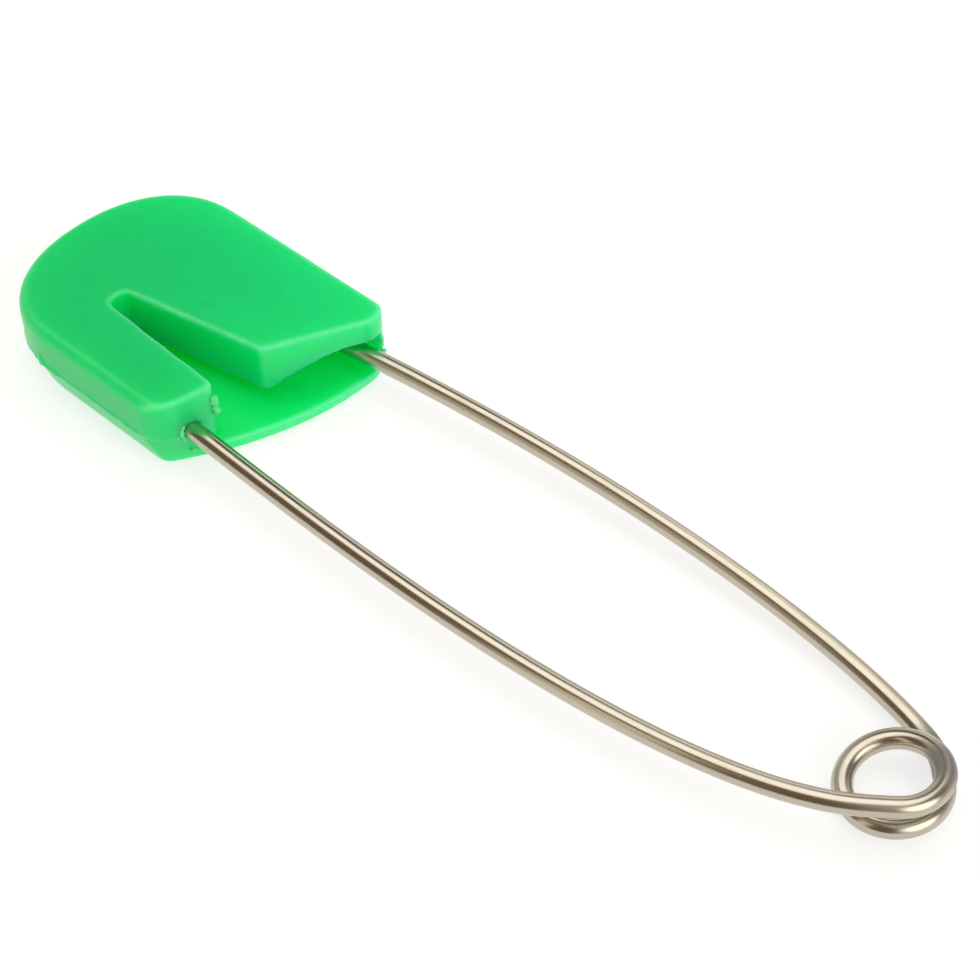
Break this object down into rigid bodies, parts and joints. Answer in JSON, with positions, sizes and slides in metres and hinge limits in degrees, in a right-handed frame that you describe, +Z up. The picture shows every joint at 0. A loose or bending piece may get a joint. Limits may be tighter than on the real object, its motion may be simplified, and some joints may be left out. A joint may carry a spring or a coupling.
{
  "type": "safety pin",
  "caption": "Nappy-style safety pin: sprung steel wire with a coil, its plain leg fixed in a slotted plastic head and its pointed leg held in the head's covered pocket.",
  "frame": {"origin": "on the head's flat back, on its middle line, 8.6 mm from its round end", "axes": "+X from the head to the coil, +Y to the pointed leg's side, +Z up through the head's top face"},
  "size_m": [0.0554, 0.014, 0.0047],
  "materials": {
    "green_plastic": "as moulded, softly glossy polypropylene",
    "nickel_plate": "bright nickel plate on hard-drawn spring steel wire"
  },
  "bodies": {
    "head_and_fixed_leg": {"moulded_head": "green_plastic", "fixed_leg": "nickel_plate"},
    "coil": {"spring_coil": "nickel_plate"},
    "needle": {"needle_leg": "nickel_plate"}
  },
  "joints": [
    {"name": "needle_squeeze", "type": "hinge", "parent": "head_and_fixed_leg", "child": "coil", "pos_m": [0.04402, 0.00198, 0.00149], "axis": [0, 0, 1], "range_deg": [0, 2.4], "stiffness_Nm_per_rad": 0.2, "deforming": ["spring_coil"]},
    {"name": "needle_press", "type": "hinge", "parent": "coil", "child": "needle", "pos_m": [0.04402, 0.00198, 0.00149], "axis": [0, -1, 0], "range_deg": [0, 1.05], "stiffness_Nm_per_rad": 0.2}
  ]
}
